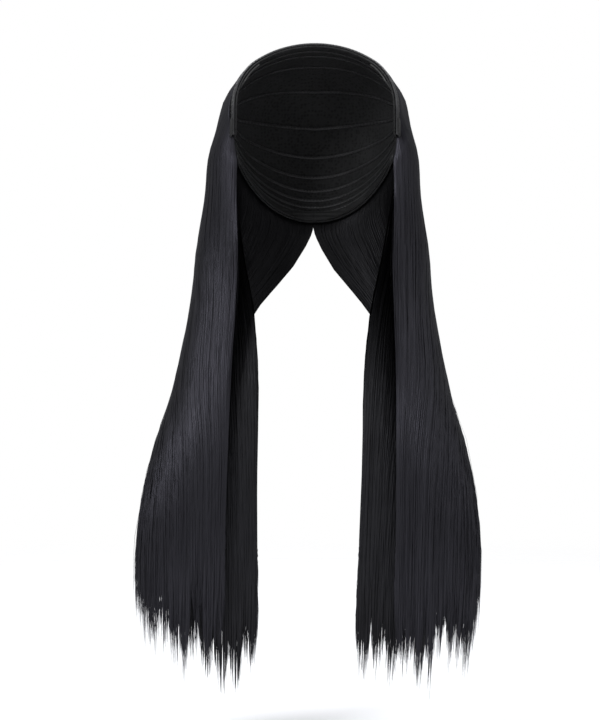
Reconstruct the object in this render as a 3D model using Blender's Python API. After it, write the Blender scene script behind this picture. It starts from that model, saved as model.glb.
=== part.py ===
"""Half wig of long straight hair, in the form that it has when worn.

Metres, +Z up. The face would look along -Y, so the back of the head is towards +Y. The origin is
where the crown of the head meets the inside of the cap. A cap covers the back half of the head, a
band runs along its front edge from temple to temple, and all the hair is drawn forward over both
shoulders: a top layer from the band, and under it a layer from the nape.
"""

import math

import bmesh
import bpy
import numpy as np

# The head that the cap fits
HEAD_WIDTH = 0.146
HEAD_LENGTH = 0.188
CROWN_HEIGHT = 0.060  # from the crown down to the widest level
SKULL_DEPTH = 0.120  # from the widest level down to where the skull's form closes

# The cap and what is sewn to it
CAP_WALL = 0.0015
SEWN_GAP = 0.0003
LINED_GAP = 0.0007  # between the cap's inside and what is sewn to it there
BAND_WIDTH = 0.010
BAND_THICKNESS = 0.0018
TAB_LENGTH = 0.015
TAB_THICKNESS = 0.0028
NAPE_BAND_WIDTH = 0.009
NAPE_BAND_THICKNESS = 0.0015
NAPE_BAND_REACH = 0.60  # share of the lower edge that the nape band covers
COMB_LENGTH = 0.028
COMB_SPINE = 0.0045
COMB_TOOTH_LENGTH = 0.0115
COMB_TOOTH_WIDTH = 0.0010
COMB_TEETH = 9
COMB_THICKNESS = 0.0011
COMB_CENTRE = 0.070  # along the front edge, from the crown to a comb's middle

# The hair
HAIR_DROP = 0.560  # from the crown down to the lowest tip
NECK_GAP = 0.090  # clear gap between the two sides in front
HEM_SPREAD = 0.290  # outer width of both sides near the tips
FALL_FORWARD = 0.096  # how far in front of the crown the hair hangs
HEM_DRIFT = -0.0085  # sideways lean of the whole fall, at the lowest tip
DRIFT_START = 0.16  # share of HAIR_DROP where the lean starts
TOP_THICKNESS = 0.012
UNDER_THICKNESS = 0.009
TOP_ROOT_SHARE = 0.24  # share of the top layer's thickness where it starts behind the band
ROOT_SETBACK = 0.0022  # from the band's rear edge to the first hair
UNDER_ROOT_SHARE = 0.30  # share of the under layer's thickness where it starts
UNDER_EDGE_SHARE = 0.50  # and where it leaves the cap
UNDER_ROOT_RISE = 0.016  # from the cap's lower edge up to the under layer's roots
UNDER_FLARE = 0.10  # how fast the under layer leaves the cap between the two
UNDER_REACH = 0.70  # share of the lower edge that the under layer's roots cover
PARTING = 0.0012  # between the left and the right hair, along the middle
HAIR_SEAT = 0.0013  # from the cap to the underside of the top layer at its roots
UNDER_SEAT = 0.0008  # from the cap to the underside of the under layer at its roots
HAIR_LIFT = 0.0022  # from the cap to the underside of the hair over the crown
TURN_EASE = 1.5  # above 1, the hair from the temples keeps nearer to the face
LOCK_RELIEF = 0.34  # share of the thickness lost between two locks
EDGE_SHARE = 0.45  # share of the thickness left at a layer's two edges
TIP_TAPER = 0.31  # share of the fall over which the locks thin down to their tips
COLUMNS_PER_LOCK = 4
TIP_THICKNESS = 0.0016

HEAD_MIDDLE = np.array((0.0, 0.0, -CROWN_HEIGHT))

# Points of the cap's edges, as turns about the head's middle in degrees. side turns from the middle
# plane to the ear. sweep is 90 at the crown, 0 at the back, -90 underneath and 180 at the face.
# Columns: side, sweep
FRONT_EDGE = (
    (0.0, 86.0),
    (20.0, 87.0),
    (38.0, 92.0),
    (48.0, 105.0),
    (55.5, 118.0),
    (63.0, 139.0),
    (66.3, 176.0),
    (66.6, 204.0),
)
LOWER_EDGE = (
    (0.0, -48.0),
    (30.0, -49.0),
    (55.0, -51.0),
    (72.0, -60.0),
    (83.0, -92.0),
    (74.0, -135.0),
)

# Where the top layer passes round the head, as rings. Drops are shares of the head form's height,
# turns are in degrees from the back, and the lifts off the head are shares of HEAD_WIDTH.
# Columns: front drop, back drop, front turn, front lift, side lift, back lift, thickness share
TOP_RINGS = (
    (0.51, 0.52, 103.0, 0.036, 0.104, 0.052, 0.50),
    (0.66, 0.80, 110.0, 0.085, 0.182, 0.085, 0.58),
)

# Plan sections of the falling hair. A section runs from the edge next to the face, past two points,
# to the edge that was at the back of the head. drop is a share of HAIR_DROP. across is 0 at the
# neck gap's side and 1 at the hem's outer side. fore is a share of FALL_FORWARD in front of the
# crown, and of half HEAD_LENGTH behind it, where it is positive.
# Columns: drop, then across and fore of the four points, then thickness share
TOP_FALL = (
    (0.320, 0.24, -0.50, 0.46, -0.10, 0.40, 0.42, -0.12, 0.74, 0.68),
    (0.410, 0.26, -0.60, 0.47, -0.32, 0.48, 0.10, 0.26, 0.40, 0.76),
    (0.515, 0.29, -0.73, 0.50, -0.62, 0.60, -0.34, 0.54, 0.02, 0.88),
    (0.625, 0.31, -0.86, 0.52, -0.85, 0.70, -0.71, 0.78, -0.48, 1.00),
    (0.740, 0.32, -0.93, 0.55, -0.95, 0.78, -0.90, 0.93, -0.75, 1.00),
    (0.870, 0.32, -0.93, 0.56, -0.96, 0.80, -0.92, 0.96, -0.79, 0.80),
    (1.000, 0.32, -0.91, 0.55, -0.94, 0.78, -0.90, 0.93, -0.78, 0.45),
)
UNDER_FALL = (
    (0.335, 0.14, -0.10, 0.26, 0.20, 0.08, 0.46, -0.28, 0.60, 0.62),
    (0.410, 0.05, -0.32, 0.22, -0.08, 0.28, 0.18, 0.06, 0.42, 0.76),
    (0.515, 0.00, -0.56, 0.18, -0.48, 0.31, -0.26, 0.31, 0.01, 0.92),
    (0.625, 0.00, -0.72, 0.18, -0.71, 0.36, -0.62, 0.48, -0.44, 1.00),
    (0.740, -0.01, -0.80, 0.18, -0.81, 0.38, -0.78, 0.54, -0.67, 1.00),
    (0.870, -0.03, -0.81, 0.18, -0.82, 0.38, -0.80, 0.54, -0.70, 0.85),
    (1.000, -0.04, -0.80, 0.17, -0.81, 0.37, -0.79, 0.52, -0.70, 0.50),
)

# The locks of each layer, from the face outwards, as shares of HAIR_DROP.
# Columns: drop of the tip, drop where it parts from the next lock
LEFT_TOP_LOCKS = (
    (0.925, 0.880),
    (0.955, 0.850),
    (0.915, 0.800),
    (0.980, 0.900),
    (0.960, 0.885),
    (0.930, 0.870),
    (0.940, 0.880),
    (0.925, 0.850),
    (0.890, 0.840),
)
RIGHT_TOP_LOCKS = (
    (0.945, 0.870),
    (0.955, 0.900),
    (0.965, 0.880),
    (0.997, 0.870),
    (0.950, 0.885),
    (0.960, 0.900),
    (0.965, 0.880),
    (0.985, 0.890),
    (0.915, 0.850),
)
LEFT_UNDER_LOCKS = (
    (0.968, 0.915),
    (0.997, 0.930),
    (1.000, 0.925),
    (0.980, 0.890),
    (0.950, 0.880),
)
RIGHT_UNDER_LOCKS = (
    (0.980, 0.905),
    (0.970, 0.900),
    (0.985, 0.910),
    (0.970, 0.895),
    (0.998, 0.910),
)

# How finely the surfaces are divided
CAP_COLUMNS, CAP_ROWS = 28, 10
BAND_STATIONS, NAPE_STATIONS = 36, 20
TOP_HEAD_ROWS, TOP_FALL_ROWS = 10, 10
UNDER_HEAD_ROWS, UNDER_FALL_ROWS = 3, 10
PATH_SAMPLES = 160
STEPS_TO_RING = 3  # control points of the top layer, from the band to its first ring
STEPS_TO_EDGE = 2  # steps of the under layer, from its roots to the cap's lower edge


def on_head(point, lift=0.0):
    """The point of the head form, grown by lift, on the line from its middle through a point."""
    arm = np.asarray(point, float) - HEAD_MIDDLE
    height = SKULL_DEPTH if arm[2] < 0 else CROWN_HEIGHT
    half_sizes = np.array((HEAD_WIDTH / 2, HEAD_LENGTH / 2, height)) + lift
    return HEAD_MIDDLE + arm / np.linalg.norm(arm / half_sizes)


def turned_point(side_deg, sweep_deg):
    """The point of the head form at a turn towards the ear and a sweep round the ear-to-ear axis."""
    side, sweep = math.radians(side_deg), math.radians(sweep_deg)
    direction = np.array(
        (
            math.sin(side),
            math.cos(side) * math.cos(sweep),
            math.cos(side) * math.sin(sweep),
        )
    )
    height = SKULL_DEPTH if direction[2] < 0 else CROWN_HEIGHT
    return HEAD_MIDDLE + direction * (HEAD_WIDTH / 2, HEAD_LENGTH / 2, height)


def curve_through(points, shares):
    """Points at shares of the length of a smooth curve through the control points."""
    points = np.asarray(points, float)
    steps = np.linalg.norm(np.diff(points[:, :3], axis=0), axis=1)
    knots = np.concatenate(((0.0,), np.cumsum(steps)))
    tangents = np.gradient(points, knots, axis=0)
    at = np.clip(np.asarray(shares, float), 0, 1) * knots[-1]
    left = np.clip(np.searchsorted(knots, at, side="right") - 1, 0, len(knots) - 2)
    span = knots[left + 1] - knots[left]
    t = ((at - knots[left]) / span)[:, None]
    span = span[:, None]
    return (
        (2 * t**3 - 3 * t**2 + 1) * points[left]
        + (t**3 - 2 * t**2 + t) * span * tangents[left]
        + (3 * t**2 - 2 * t**3) * points[left + 1]
        + (t**3 - t**2) * span * tangents[left + 1]
    )


def lengths_along(path):
    """The distance along a path at each of its points."""
    steps = np.linalg.norm(np.diff(path[:, :3], axis=0), axis=1)
    return np.concatenate(((0.0,), np.cumsum(steps)))


FRONT_CURVE = curve_through(
    [turned_point(*row) for row in FRONT_EDGE], np.linspace(0, 1, PATH_SAMPLES)
)
LOWER_CURVE = curve_through(
    [turned_point(*row) for row in LOWER_EDGE], np.linspace(0, 1, PATH_SAMPLES)
)
FRONT_LENGTH = lengths_along(FRONT_CURVE)[-1]


def edge_point(edge, across):
    """The point at a share of an edge: 0 in the middle, 1 at the right temple, -1 at the left."""
    lengths = lengths_along(edge)
    at = abs(across) * lengths[-1]
    point = np.array([np.interp(at, lengths, edge[:, axis]) for axis in range(3)])
    point[0] = math.copysign(point[0], across)
    return point


def cap_point(across, down, lift=0.0):
    """A point over the cap: across from temple to temple, down from the front edge to the lower edge."""
    front, lower = edge_point(FRONT_CURVE, across), edge_point(LOWER_CURVE, across)
    return on_head(front + down * (lower - front), lift)


def down_share(across, distance, from_lower=False):
    """The share of a cap column that lies within a distance of the front edge, or of the lower one."""
    shares = np.linspace(0, 1, PATH_SAMPLES)
    column = np.array([cap_point(across, 1 - s if from_lower else s) for s in shares])
    share = float(np.interp(distance, lengths_along(column), shares))
    return 1 - share if from_lower else share


def principled(name, colour, roughness, metallic=0.0):
    """A material with a colour, a roughness and a metallic value."""
    material = bpy.data.materials.new(name)
    material.use_nodes = True
    shader = material.node_tree.nodes["Principled BSDF"]
    shader.inputs["Base Color"].default_value = (*colour, 1.0)
    shader.inputs["Roughness"].default_value = roughness
    shader.inputs["Metallic"].default_value = metallic
    return material


def wall_from_grid(name, grid, material, thickness, shares=None, turned_over=False):
    """A closed wall that stands on a grid of points, as thick as thickness times each point's share."""
    rows, columns = len(grid), len(grid[0])
    bm = bmesh.new()
    verts = [[bm.verts.new(point) for point in row] for row in grid]
    for i in range(rows - 1):
        for j in range(columns - 1):
            corners = [verts[i][j], verts[i][j + 1], verts[i + 1][j + 1], verts[i + 1][j]]
            bm.faces.new(corners[::-1] if turned_over else corners)
    mesh = bpy.data.meshes.new(name)
    bm.to_mesh(mesh)
    bm.free()
    mesh.shade_smooth()
    obj = bpy.data.objects.new(name, mesh)
    bpy.context.scene.collection.objects.link(obj)
    obj.data.materials.append(material)
    solidify = obj.modifiers.new("wall", "SOLIDIFY")
    solidify.thickness = thickness
    solidify.offset = 1.0
    if shares is not None:
        group = obj.vertex_groups.new(name="thickness")
        for index, share in enumerate(np.ravel(shares)):
            group.add([index], float(share), "REPLACE")
        solidify.vertex_group = group.name
        solidify.thickness_vertex_group = 0.0
    return obj


def ease_edges(obj, width):
    """Rounds the sharp edges of a wall."""
    bevel = obj.modifiers.new("eased", "BEVEL")
    bevel.width = width
    bevel.segments = 1
    bevel.limit_method = "ANGLE"
    bevel.angle_limit = math.radians(50)
    return obj


def build_cap(material):
    """The sewn cap over the back half of the head."""
    grid = [
        [cap_point(across, down) for across in np.linspace(-1, 1, CAP_COLUMNS + 1)]
        for down in np.linspace(0, 1, CAP_ROWS + 1)
    ]
    return wall_from_grid("cap", grid, material, CAP_WALL)


def strip_on_cap(name, stations, near, far, lift, material, thickness, from_lower=False):
    """A strip that follows an edge of the cap, between two distances from it."""
    grid = []
    for distance in (near, (near + far) / 2, far):
        row = []
        for across in stations:
            down = down_share(across, distance, from_lower)
            row.append(cap_point(across, down, lift))
        grid.append(row)
    return wall_from_grid(name, grid, material, thickness, turned_over=from_lower)


def build_front_band(material):
    """The band along the front edge, from one tab to the other."""
    reach = 1 - (TAB_LENGTH + SEWN_GAP) / FRONT_LENGTH
    stations = np.linspace(-reach, reach, BAND_STATIONS + 1)
    lift = CAP_WALL + SEWN_GAP
    band = strip_on_cap(
        "front_band", stations, 0.0, BAND_WIDTH, lift, material, BAND_THICKNESS
    )
    return ease_edges(band, BAND_THICKNESS / 4)


def build_tab(side_name, side, material):
    """The thicker tab that ends the band at a temple."""
    start = 1 - TAB_LENGTH / FRONT_LENGTH
    stations = side * np.linspace(start, 1, 4)[:: int(side)]
    lift = CAP_WALL + SEWN_GAP
    tab = strip_on_cap(
        f"temple_tab_{side_name}", stations, 0.0, BAND_WIDTH, lift, material, TAB_THICKNESS
    )
    return ease_edges(tab, TAB_THICKNESS / 3)


def build_nape_band(material):
    """The plain band inside the cap's lower edge."""
    stations = np.linspace(-NAPE_BAND_REACH, NAPE_BAND_REACH, NAPE_STATIONS + 1)
    lift = -LINED_GAP - NAPE_BAND_THICKNESS
    return strip_on_cap(
        "nape_band", stations, 0.0, NAPE_BAND_WIDTH, lift, material, NAPE_BAND_THICKNESS, True
    )


def build_comb(side_name, side, material):
    """A small comb inside the cap behind the band, whose teeth point away from the face."""
    pitch = (COMB_LENGTH - COMB_TOOTH_WIDTH) / (COMB_TEETH - 1)
    starts = [(i * pitch, i * pitch + COMB_TOOTH_WIDTH) for i in range(COMB_TEETH)]
    stops = [stop for pair in starts for stop in pair]
    reaches = [0.0, COMB_SPINE]
    reaches += [COMB_SPINE + COMB_TOOTH_LENGTH * share for share in (0.5, 1.0)]
    lift = -LINED_GAP - COMB_THICKNESS
    bm = bmesh.new()
    verts = {}
    for i, stop in enumerate(stops):
        across = side * (COMB_CENTRE - COMB_LENGTH / 2 + stop) / FRONT_LENGTH
        for j, reach in enumerate(reaches):
            verts[i, j] = bm.verts.new(cap_point(across, down_share(across, reach), lift))
    for i in range(len(stops) - 1):
        for j in range(len(reaches) - 1):
            in_spine, in_tooth = j == 0, i % 2 == 0
            if in_spine or in_tooth:
                corners = [verts[i, j], verts[i + 1, j], verts[i + 1, j + 1], verts[i, j + 1]]
                bm.faces.new(corners if side > 0 else corners[::-1])
    mesh = bpy.data.meshes.new(f"comb_{side_name}")
    bm.to_mesh(mesh)
    bm.free()
    comb = bpy.data.objects.new(mesh.name, mesh)
    bpy.context.scene.collection.objects.link(comb)
    comb.data.materials.append(material)
    solidify = comb.modifiers.new("wall", "SOLIDIFY")
    solidify.thickness = COMB_THICKNESS
    solidify.offset = 1.0
    return comb


def ring_point(ring, share):
    """A point of the top layer's underside where it passes round the head, with its thickness share."""
    front_drop, back_drop, turn_deg, front_lift, side_lift, back_lift, body = ring
    height = CROWN_HEIGHT + SKULL_DEPTH
    drop = (front_drop + share * (back_drop - front_drop)) * height
    turn = math.radians(turn_deg) * (1 - share**TURN_EASE)
    lift = (
        (1 - share) * (1 - 2 * share) * front_lift
        + 4 * share * (1 - share) * side_lift
        + share * (2 * share - 1) * back_lift
    ) * HEAD_WIDTH
    flat = np.array((-math.sin(turn) * HEAD_WIDTH, math.cos(turn) * HEAD_LENGTH)) / 2
    level = (drop - CROWN_HEIGHT) / SKULL_DEPTH
    width = math.sqrt(1 - level * level)
    plan = flat * width
    plan += lift * flat / np.linalg.norm(flat)
    return np.array((*plan, -drop, body))


def fall_row(row, shares):
    """The points of one plan section of the falling hair, at shares of its width."""
    drop, *plan, body = row
    points = []
    for across, fore in zip(plan[0::2], plan[1::2]):
        x = -NECK_GAP / 2 - across * (HEM_SPREAD - NECK_GAP) / 2
        y = fore * (HEAD_LENGTH / 2 if fore > 0 else FALL_FORWARD)
        points.append((x, y, -drop * HAIR_DROP, body))
    return curve_through(points, shares)


def lock_ends(locks):
    """For each column of a layer, the drop where it ends."""
    first_tip, first_split = locks[0]
    last_tip, _ = locks[-1]
    splits = [(first_tip + first_split) / 2]
    splits += [split for _, split in locks[:-1]]
    splits += [(last_tip + locks[-1][1]) / 2]
    ends = []
    for (tip, _), before, after in zip(locks, splits, splits[1:]):
        for step in range(COLUMNS_PER_LOCK):
            phase = step / COLUMNS_PER_LOCK
            valley = before if phase < 0.5 else after
            ends.append(valley + (tip - valley) * (1 - abs(2 * phase - 1)))
    return ends + [splits[-1]]


def lock_profile(columns):
    """The thickness share across a layer: rounded locks, and thinner edges."""
    place = np.arange(columns) / COLUMNS_PER_LOCK
    ridge = np.sqrt(np.abs(np.sin(np.pi * place)))
    edge = np.minimum(np.arange(columns), np.arange(columns)[::-1]) / COLUMNS_PER_LOCK
    fullness = EDGE_SHARE + (1 - EDGE_SHARE) * np.sqrt(np.clip(edge, 0, 1))
    return (1 - LOCK_RELIEF + LOCK_RELIEF * ridge) * fullness


def hair_layer(name, side, locks, controls, head_rows, fall_rows, thickness, material):
    """A layer of locks that are one body: rows of control points down each column, then a wall."""
    columns = len(locks) * COLUMNS_PER_LOCK + 1
    profile = lock_profile(columns)
    ends = lock_ends(locks)
    grid, bodies = [], []
    last_on_head, rows_on_head = head_rows
    for column in range(columns):
        path = curve_through(controls[column], np.linspace(0, 1, PATH_SAMPLES))
        lengths = lengths_along(path)
        leaving_height = controls[column][last_on_head][2]
        leaves = float(np.interp(leaving_height, path[::-1, 2], lengths[::-1]))
        stops = float(np.interp(-ends[column] * HAIR_DROP, path[::-1, 2], lengths[::-1]))
        on_the_head = np.linspace(0, leaves, rows_on_head, endpoint=False)
        at = np.concatenate((on_the_head, np.linspace(leaves, stops, fall_rows + 1)))
        points = np.array([np.interp(at, lengths, path[:, axis]) for axis in range(4)]).T
        fall = np.clip((stops - at) / (stops - leaves), 0, 1)
        taper = np.sqrt(np.minimum(1, fall / TIP_TAPER))
        lean = (-points[:, 2] / HAIR_DROP - DRIFT_START) / (1 - DRIFT_START)
        points[:, 0] -= side * HEM_DRIFT * np.clip(lean, 0, 1)
        body = points[:, 3] * profile[column] * taper
        bodies.append(np.maximum(body, TIP_THICKNESS / thickness))
        points[:, 0] = np.minimum(points[:, 0], -PARTING / 2) * -side
        grid.append(points[:, :3])
    grid = np.array(grid).transpose(1, 0, 2)
    shares = np.array(bodies).T
    return wall_from_grid(name, grid, material, thickness, shares, turned_over=side > 0)


def top_controls(columns):
    """Control points of the top layer: from the band over the head, round it and down the front."""
    shares = np.linspace(0, 1, columns)
    falls = [fall_row(row, shares) for row in TOP_FALL]
    controls = []
    for column, share in enumerate(shares):
        across = -(1 - share)
        root_down = down_share(across, BAND_WIDTH + ROOT_SETBACK)
        root = cap_point(across, root_down, CAP_WALL + HAIR_SEAT)
        rings = [ring_point(ring, share) for ring in TOP_RINGS]
        points = [np.array((*root, TOP_ROOT_SHARE))]
        for step in range(1, STEPS_TO_RING):
            between = points[0] + (rings[0] - points[0]) * step / STEPS_TO_RING
            between[:3] = on_head(between[:3], CAP_WALL + HAIR_LIFT * step)
            points.append(between)
        controls.append(np.array(points + rings + [fall[column] for fall in falls]))
    return controls


def under_controls(columns):
    """Control points of the under layer: from the cap's lower edge round the neck to the front."""
    shares = np.linspace(0, 1, columns)
    falls = [fall_row(row, shares) for row in UNDER_FALL]
    controls = []
    for column, share in enumerate(shares):
        across = -UNDER_REACH * (1 - share)
        points = []
        for step in np.linspace(0, 1, STEPS_TO_EDGE + 1):
            down = down_share(across, (1 - step) * UNDER_ROOT_RISE, from_lower=True)
            lift = CAP_WALL + UNDER_SEAT + step * UNDER_ROOT_RISE * UNDER_FLARE
            body = UNDER_ROOT_SHARE + step * (UNDER_EDGE_SHARE - UNDER_ROOT_SHARE)
            points.append(np.array((*cap_point(across, down, lift), body)))
        controls.append(np.array(points + [fall[column] for fall in falls]))
    return controls


def build_hair(material):
    """The top and under layers of both sides."""
    layers = (
        (
            "hair_top", TOP_THICKNESS, top_controls,
            (STEPS_TO_RING, TOP_HEAD_ROWS), TOP_FALL_ROWS,
        ),
        (
            "hair_under", UNDER_THICKNESS, under_controls,
            (STEPS_TO_EDGE, UNDER_HEAD_ROWS), UNDER_FALL_ROWS,
        ),
    )
    locks = {
        ("hair_top", -1): LEFT_TOP_LOCKS,
        ("hair_top", 1): RIGHT_TOP_LOCKS,
        ("hair_under", -1): LEFT_UNDER_LOCKS,
        ("hair_under", 1): RIGHT_UNDER_LOCKS,
    }
    for layer, thickness, controls_of, head_rows, fall_rows in layers:
        for side_name, side in (("left", -1), ("right", 1)):
            side_locks = locks[layer, side]
            controls = controls_of(len(side_locks) * COLUMNS_PER_LOCK + 1)
            hair_layer(
                f"{layer}_{side_name}", side, side_locks, controls, head_rows, fall_rows,
                thickness, material,
            )


def main():
    for obj in list(bpy.data.objects):
        bpy.data.objects.remove(obj)
    net = principled("cap_net", (0.018, 0.017, 0.018), 0.85)
    elastic = principled("band_elastic", (0.030, 0.029, 0.031), 0.75)
    fibre = principled("hair_fibre", (0.012, 0.012, 0.014), 0.42)
    plastic = principled("comb_plastic", (0.030, 0.027, 0.026), 0.30)
    build_cap(net)
    build_front_band(elastic)
    build_nape_band(elastic)
    for side_name, side in (("left", -1), ("right", 1)):
        build_tab(side_name, side, elastic)
        build_comb(side_name, side, plastic)
    build_hair(fibre)


main()
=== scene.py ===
# %% [markdown]
# # A half wig of long straight hair
#
# This lesson dresses the solids of a half wig: a cap for the back of the head, a band that runs
# over the crown from temple to temple, and black hair drawn forward over both shoulders. The
# solids give every size and place. What they lack is the hair itself, so most of the lesson is
# about one question: how to make two falls of straight hair from thousands of single strands.

import math

import bmesh
import bpy
import numpy as np
from mathutils import Matrix, Vector


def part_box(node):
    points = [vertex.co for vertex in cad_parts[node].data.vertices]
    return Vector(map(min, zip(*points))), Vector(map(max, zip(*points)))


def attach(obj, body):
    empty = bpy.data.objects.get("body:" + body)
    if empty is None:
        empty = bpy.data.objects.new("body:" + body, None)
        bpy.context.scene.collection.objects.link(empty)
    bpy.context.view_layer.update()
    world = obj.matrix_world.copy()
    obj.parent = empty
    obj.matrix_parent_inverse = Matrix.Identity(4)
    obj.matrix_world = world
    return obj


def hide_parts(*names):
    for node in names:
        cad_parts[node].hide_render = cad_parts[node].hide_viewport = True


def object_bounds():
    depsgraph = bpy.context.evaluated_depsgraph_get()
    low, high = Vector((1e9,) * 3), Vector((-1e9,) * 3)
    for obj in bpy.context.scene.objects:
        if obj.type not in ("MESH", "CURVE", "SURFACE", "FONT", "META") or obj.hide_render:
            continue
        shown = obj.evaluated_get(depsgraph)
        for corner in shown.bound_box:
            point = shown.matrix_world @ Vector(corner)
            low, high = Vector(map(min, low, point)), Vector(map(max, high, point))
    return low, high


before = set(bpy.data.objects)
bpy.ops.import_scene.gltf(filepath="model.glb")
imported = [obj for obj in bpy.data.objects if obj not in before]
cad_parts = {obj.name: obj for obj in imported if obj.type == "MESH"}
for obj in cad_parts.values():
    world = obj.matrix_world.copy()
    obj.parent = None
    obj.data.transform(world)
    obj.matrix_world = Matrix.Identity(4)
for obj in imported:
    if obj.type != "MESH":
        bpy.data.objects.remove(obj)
cad_box = [list(corner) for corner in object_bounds()]
print("Solids:", sorted(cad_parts))
print("Their box in metres:", cad_box)

# %% [markdown]
# ## The camera
#
# The photograph is taken straight from the front, level, from a few paces away. A long lens does
# the same here: it keeps the two falls of hair from spreading towards the viewer. The camera is
# level with the middle of the hair and stands a little to the left of the wig's own middle, so that
# the wig lies in the frame as it does in the photograph.

# %% Place the camera
CAMERA_DISTANCE = 2.2
VIEW_CENTRE = Vector((-0.013, 0.0, -0.273))
VIEW_HEIGHT = 0.6264  # what the tall side of the frame takes in at the crown's distance
SENSOR = 36.0

camera_data = bpy.data.cameras.new("camera")
camera_data.sensor_width = SENSOR
camera_data.lens = SENSOR * CAMERA_DISTANCE / VIEW_HEIGHT
camera = bpy.data.objects.new("camera", camera_data)
camera.location = VIEW_CENTRE + Vector((0, -CAMERA_DISTANCE, 0))
camera.rotation_euler = (math.pi / 2, 0, 0)
bpy.context.scene.collection.objects.link(camera)
bpy.context.scene.camera = camera
print(f"Lens {camera_data.lens:.1f} mm at {CAMERA_DISTANCE} m")

# %% [markdown]
# ## Floor and light
#
# Black hair shows only what it reflects. Large soft lights from both sides, from above and from
# behind give it long, quiet highlights, and a pale room fills the rest. Small lights would turn
# every strand into a bright scratch. The floor fades out towards its rim, so it has no horizon. The
# plain colour transform keeps the floor white and the hair near black.

# %% Make the floor, the pale room and the soft lights
FLOOR_SIZE = 5.0
FLOOR_GAP = 0.03  # from the lowest tip down to the floor
FLOOR_SOLID = 0.7  # the floor starts to fade at this distance from its middle
FLOOR_COLOUR = (0.93, 0.93, 0.94, 1)
ROOM_LIGHT = 0.50
DAYLIGHT = (0.97, 0.98, 1.0)
LIT_POINT = (0.0, 0.0, -0.30)
# Columns: name, place, size of the square, power in watts
SOFT_LIGHTS = (
    ("key", (-1.3, -1.6, 1.3), 0.9, 31),
    ("fill", (1.7, -1.4, 1.1), 1.4, 9),
    ("top", (0.0, 0.3, 1.9), 1.2, 40),
    ("back", (-0.4, 2.2, 1.0), 2.2, 12),
)


def take_mesh(bm, name):
    """The mesh that a finished bmesh holds. The bmesh is freed."""
    mesh = bpy.data.meshes.new(name)
    bm.to_mesh(mesh)
    bm.free()
    return mesh


bm = bmesh.new()
bmesh.ops.create_grid(bm, x_segments=1, y_segments=1, size=FLOOR_SIZE / 2)
bmesh.ops.translate(bm, verts=bm.verts, vec=(0, 0, cad_box[0][2] - FLOOR_GAP))
floor = bpy.data.objects.new("floor", take_mesh(bm, "floor"))
bpy.context.scene.collection.objects.link(floor)
floor_paint = bpy.data.materials.new("floor_paint")
floor_paint.use_nodes = True
paint = floor_paint.node_tree
paint_shader = paint.nodes["Principled BSDF"]
paint_shader.inputs["Base Color"].default_value = FLOOR_COLOUR
paint_shader.inputs["Roughness"].default_value = 0.9
paint_place = paint.nodes.new("ShaderNodeTexCoord")
paint_middle = paint.nodes.new("ShaderNodeVectorMath")
paint_middle.operation = "LENGTH"
paint_fade = paint.nodes.new("ShaderNodeMapRange")
paint_fade.interpolation_type = "SMOOTHSTEP"
paint_fade.inputs["From Min"].default_value = FLOOR_SOLID
paint_fade.inputs["From Max"].default_value = FLOOR_SIZE / 2
paint_clear = paint.nodes.new("ShaderNodeBsdfTransparent")
paint_mix = paint.nodes.new("ShaderNodeMixShader")
paint.links.new(paint_place.outputs["Object"], paint_middle.inputs[0])
paint.links.new(paint_middle.outputs["Value"], paint_fade.inputs["Value"])
paint.links.new(paint_fade.outputs["Result"], paint_mix.inputs["Fac"])
paint.links.new(paint_shader.outputs["BSDF"], paint_mix.inputs[1])
paint.links.new(paint_clear.outputs["BSDF"], paint_mix.inputs[2])
paint.links.new(paint_mix.outputs["Shader"], paint.nodes["Material Output"].inputs["Surface"])
floor.data.materials.append(floor_paint)

world = bpy.data.worlds.new("room")
bpy.context.scene.world = world
world.use_nodes = True
room = world.node_tree
room_light = room.nodes["Background"]
room_light.inputs["Color"].default_value = (*DAYLIGHT, 1)
room_light.inputs["Strength"].default_value = ROOM_LIGHT
room_seen = room.nodes.new("ShaderNodeBackground")
room_seen.inputs["Color"].default_value = (1.0, 1.0, 1.0, 1)
room_rays = room.nodes.new("ShaderNodeLightPath")
room_mix = room.nodes.new("ShaderNodeMixShader")
room.links.new(room_rays.outputs["Is Camera Ray"], room_mix.inputs["Fac"])
room.links.new(room_light.outputs["Background"], room_mix.inputs[1])
room.links.new(room_seen.outputs["Background"], room_mix.inputs[2])
room.links.new(room_mix.outputs["Shader"], room.nodes["World Output"].inputs["Surface"])


def soft_light(name, place, size, power):
    """A square area light that looks at the lit point."""
    data = bpy.data.lights.new(name, "AREA")
    data.size = size
    data.energy = power
    data.color = DAYLIGHT
    lamp = bpy.data.objects.new(name, data)
    lamp.location = place
    lamp.rotation_euler = (Vector(LIT_POINT) - Vector(place)).to_track_quat("-Z", "Y").to_euler()
    bpy.context.scene.collection.objects.link(lamp)


for name, place, size, power in SOFT_LIGHTS:
    soft_light(name, place, size, power)
bpy.context.scene.view_settings.view_transform = "Standard"
print(f"{len(SOFT_LIGHTS)} soft lights and a pale room")

# %% [markdown]
# ## Materials
#
# The wig has five finishes: satin fibre, matt net, elastic, satin binding and smooth plastic. Each
# is made of nodes, so it has no picture to lose. The small pieces take their pattern from Object
# coordinates alone. The hair can't: its pattern has to run along every strand. So each strand
# carries two numbers of its own in a colour attribute named strand: its tone, and how far along
# the strand a point lies.

# %% Helpers for node materials
def new_material(name):
    """A node material, its node tree and its shader."""
    material = bpy.data.materials.new(name)
    material.use_nodes = True
    return material, material.node_tree, material.node_tree.nodes["Principled BSDF"]


def add_node(tree, kind, **values):
    """A node with some of its properties or input values set."""
    node = tree.nodes.new(kind)
    for key, value in values.items():
        if hasattr(node, key):
            setattr(node, key, value)
        else:
            node.inputs[key.replace("_", " ").title()].default_value = value
    return node


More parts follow.
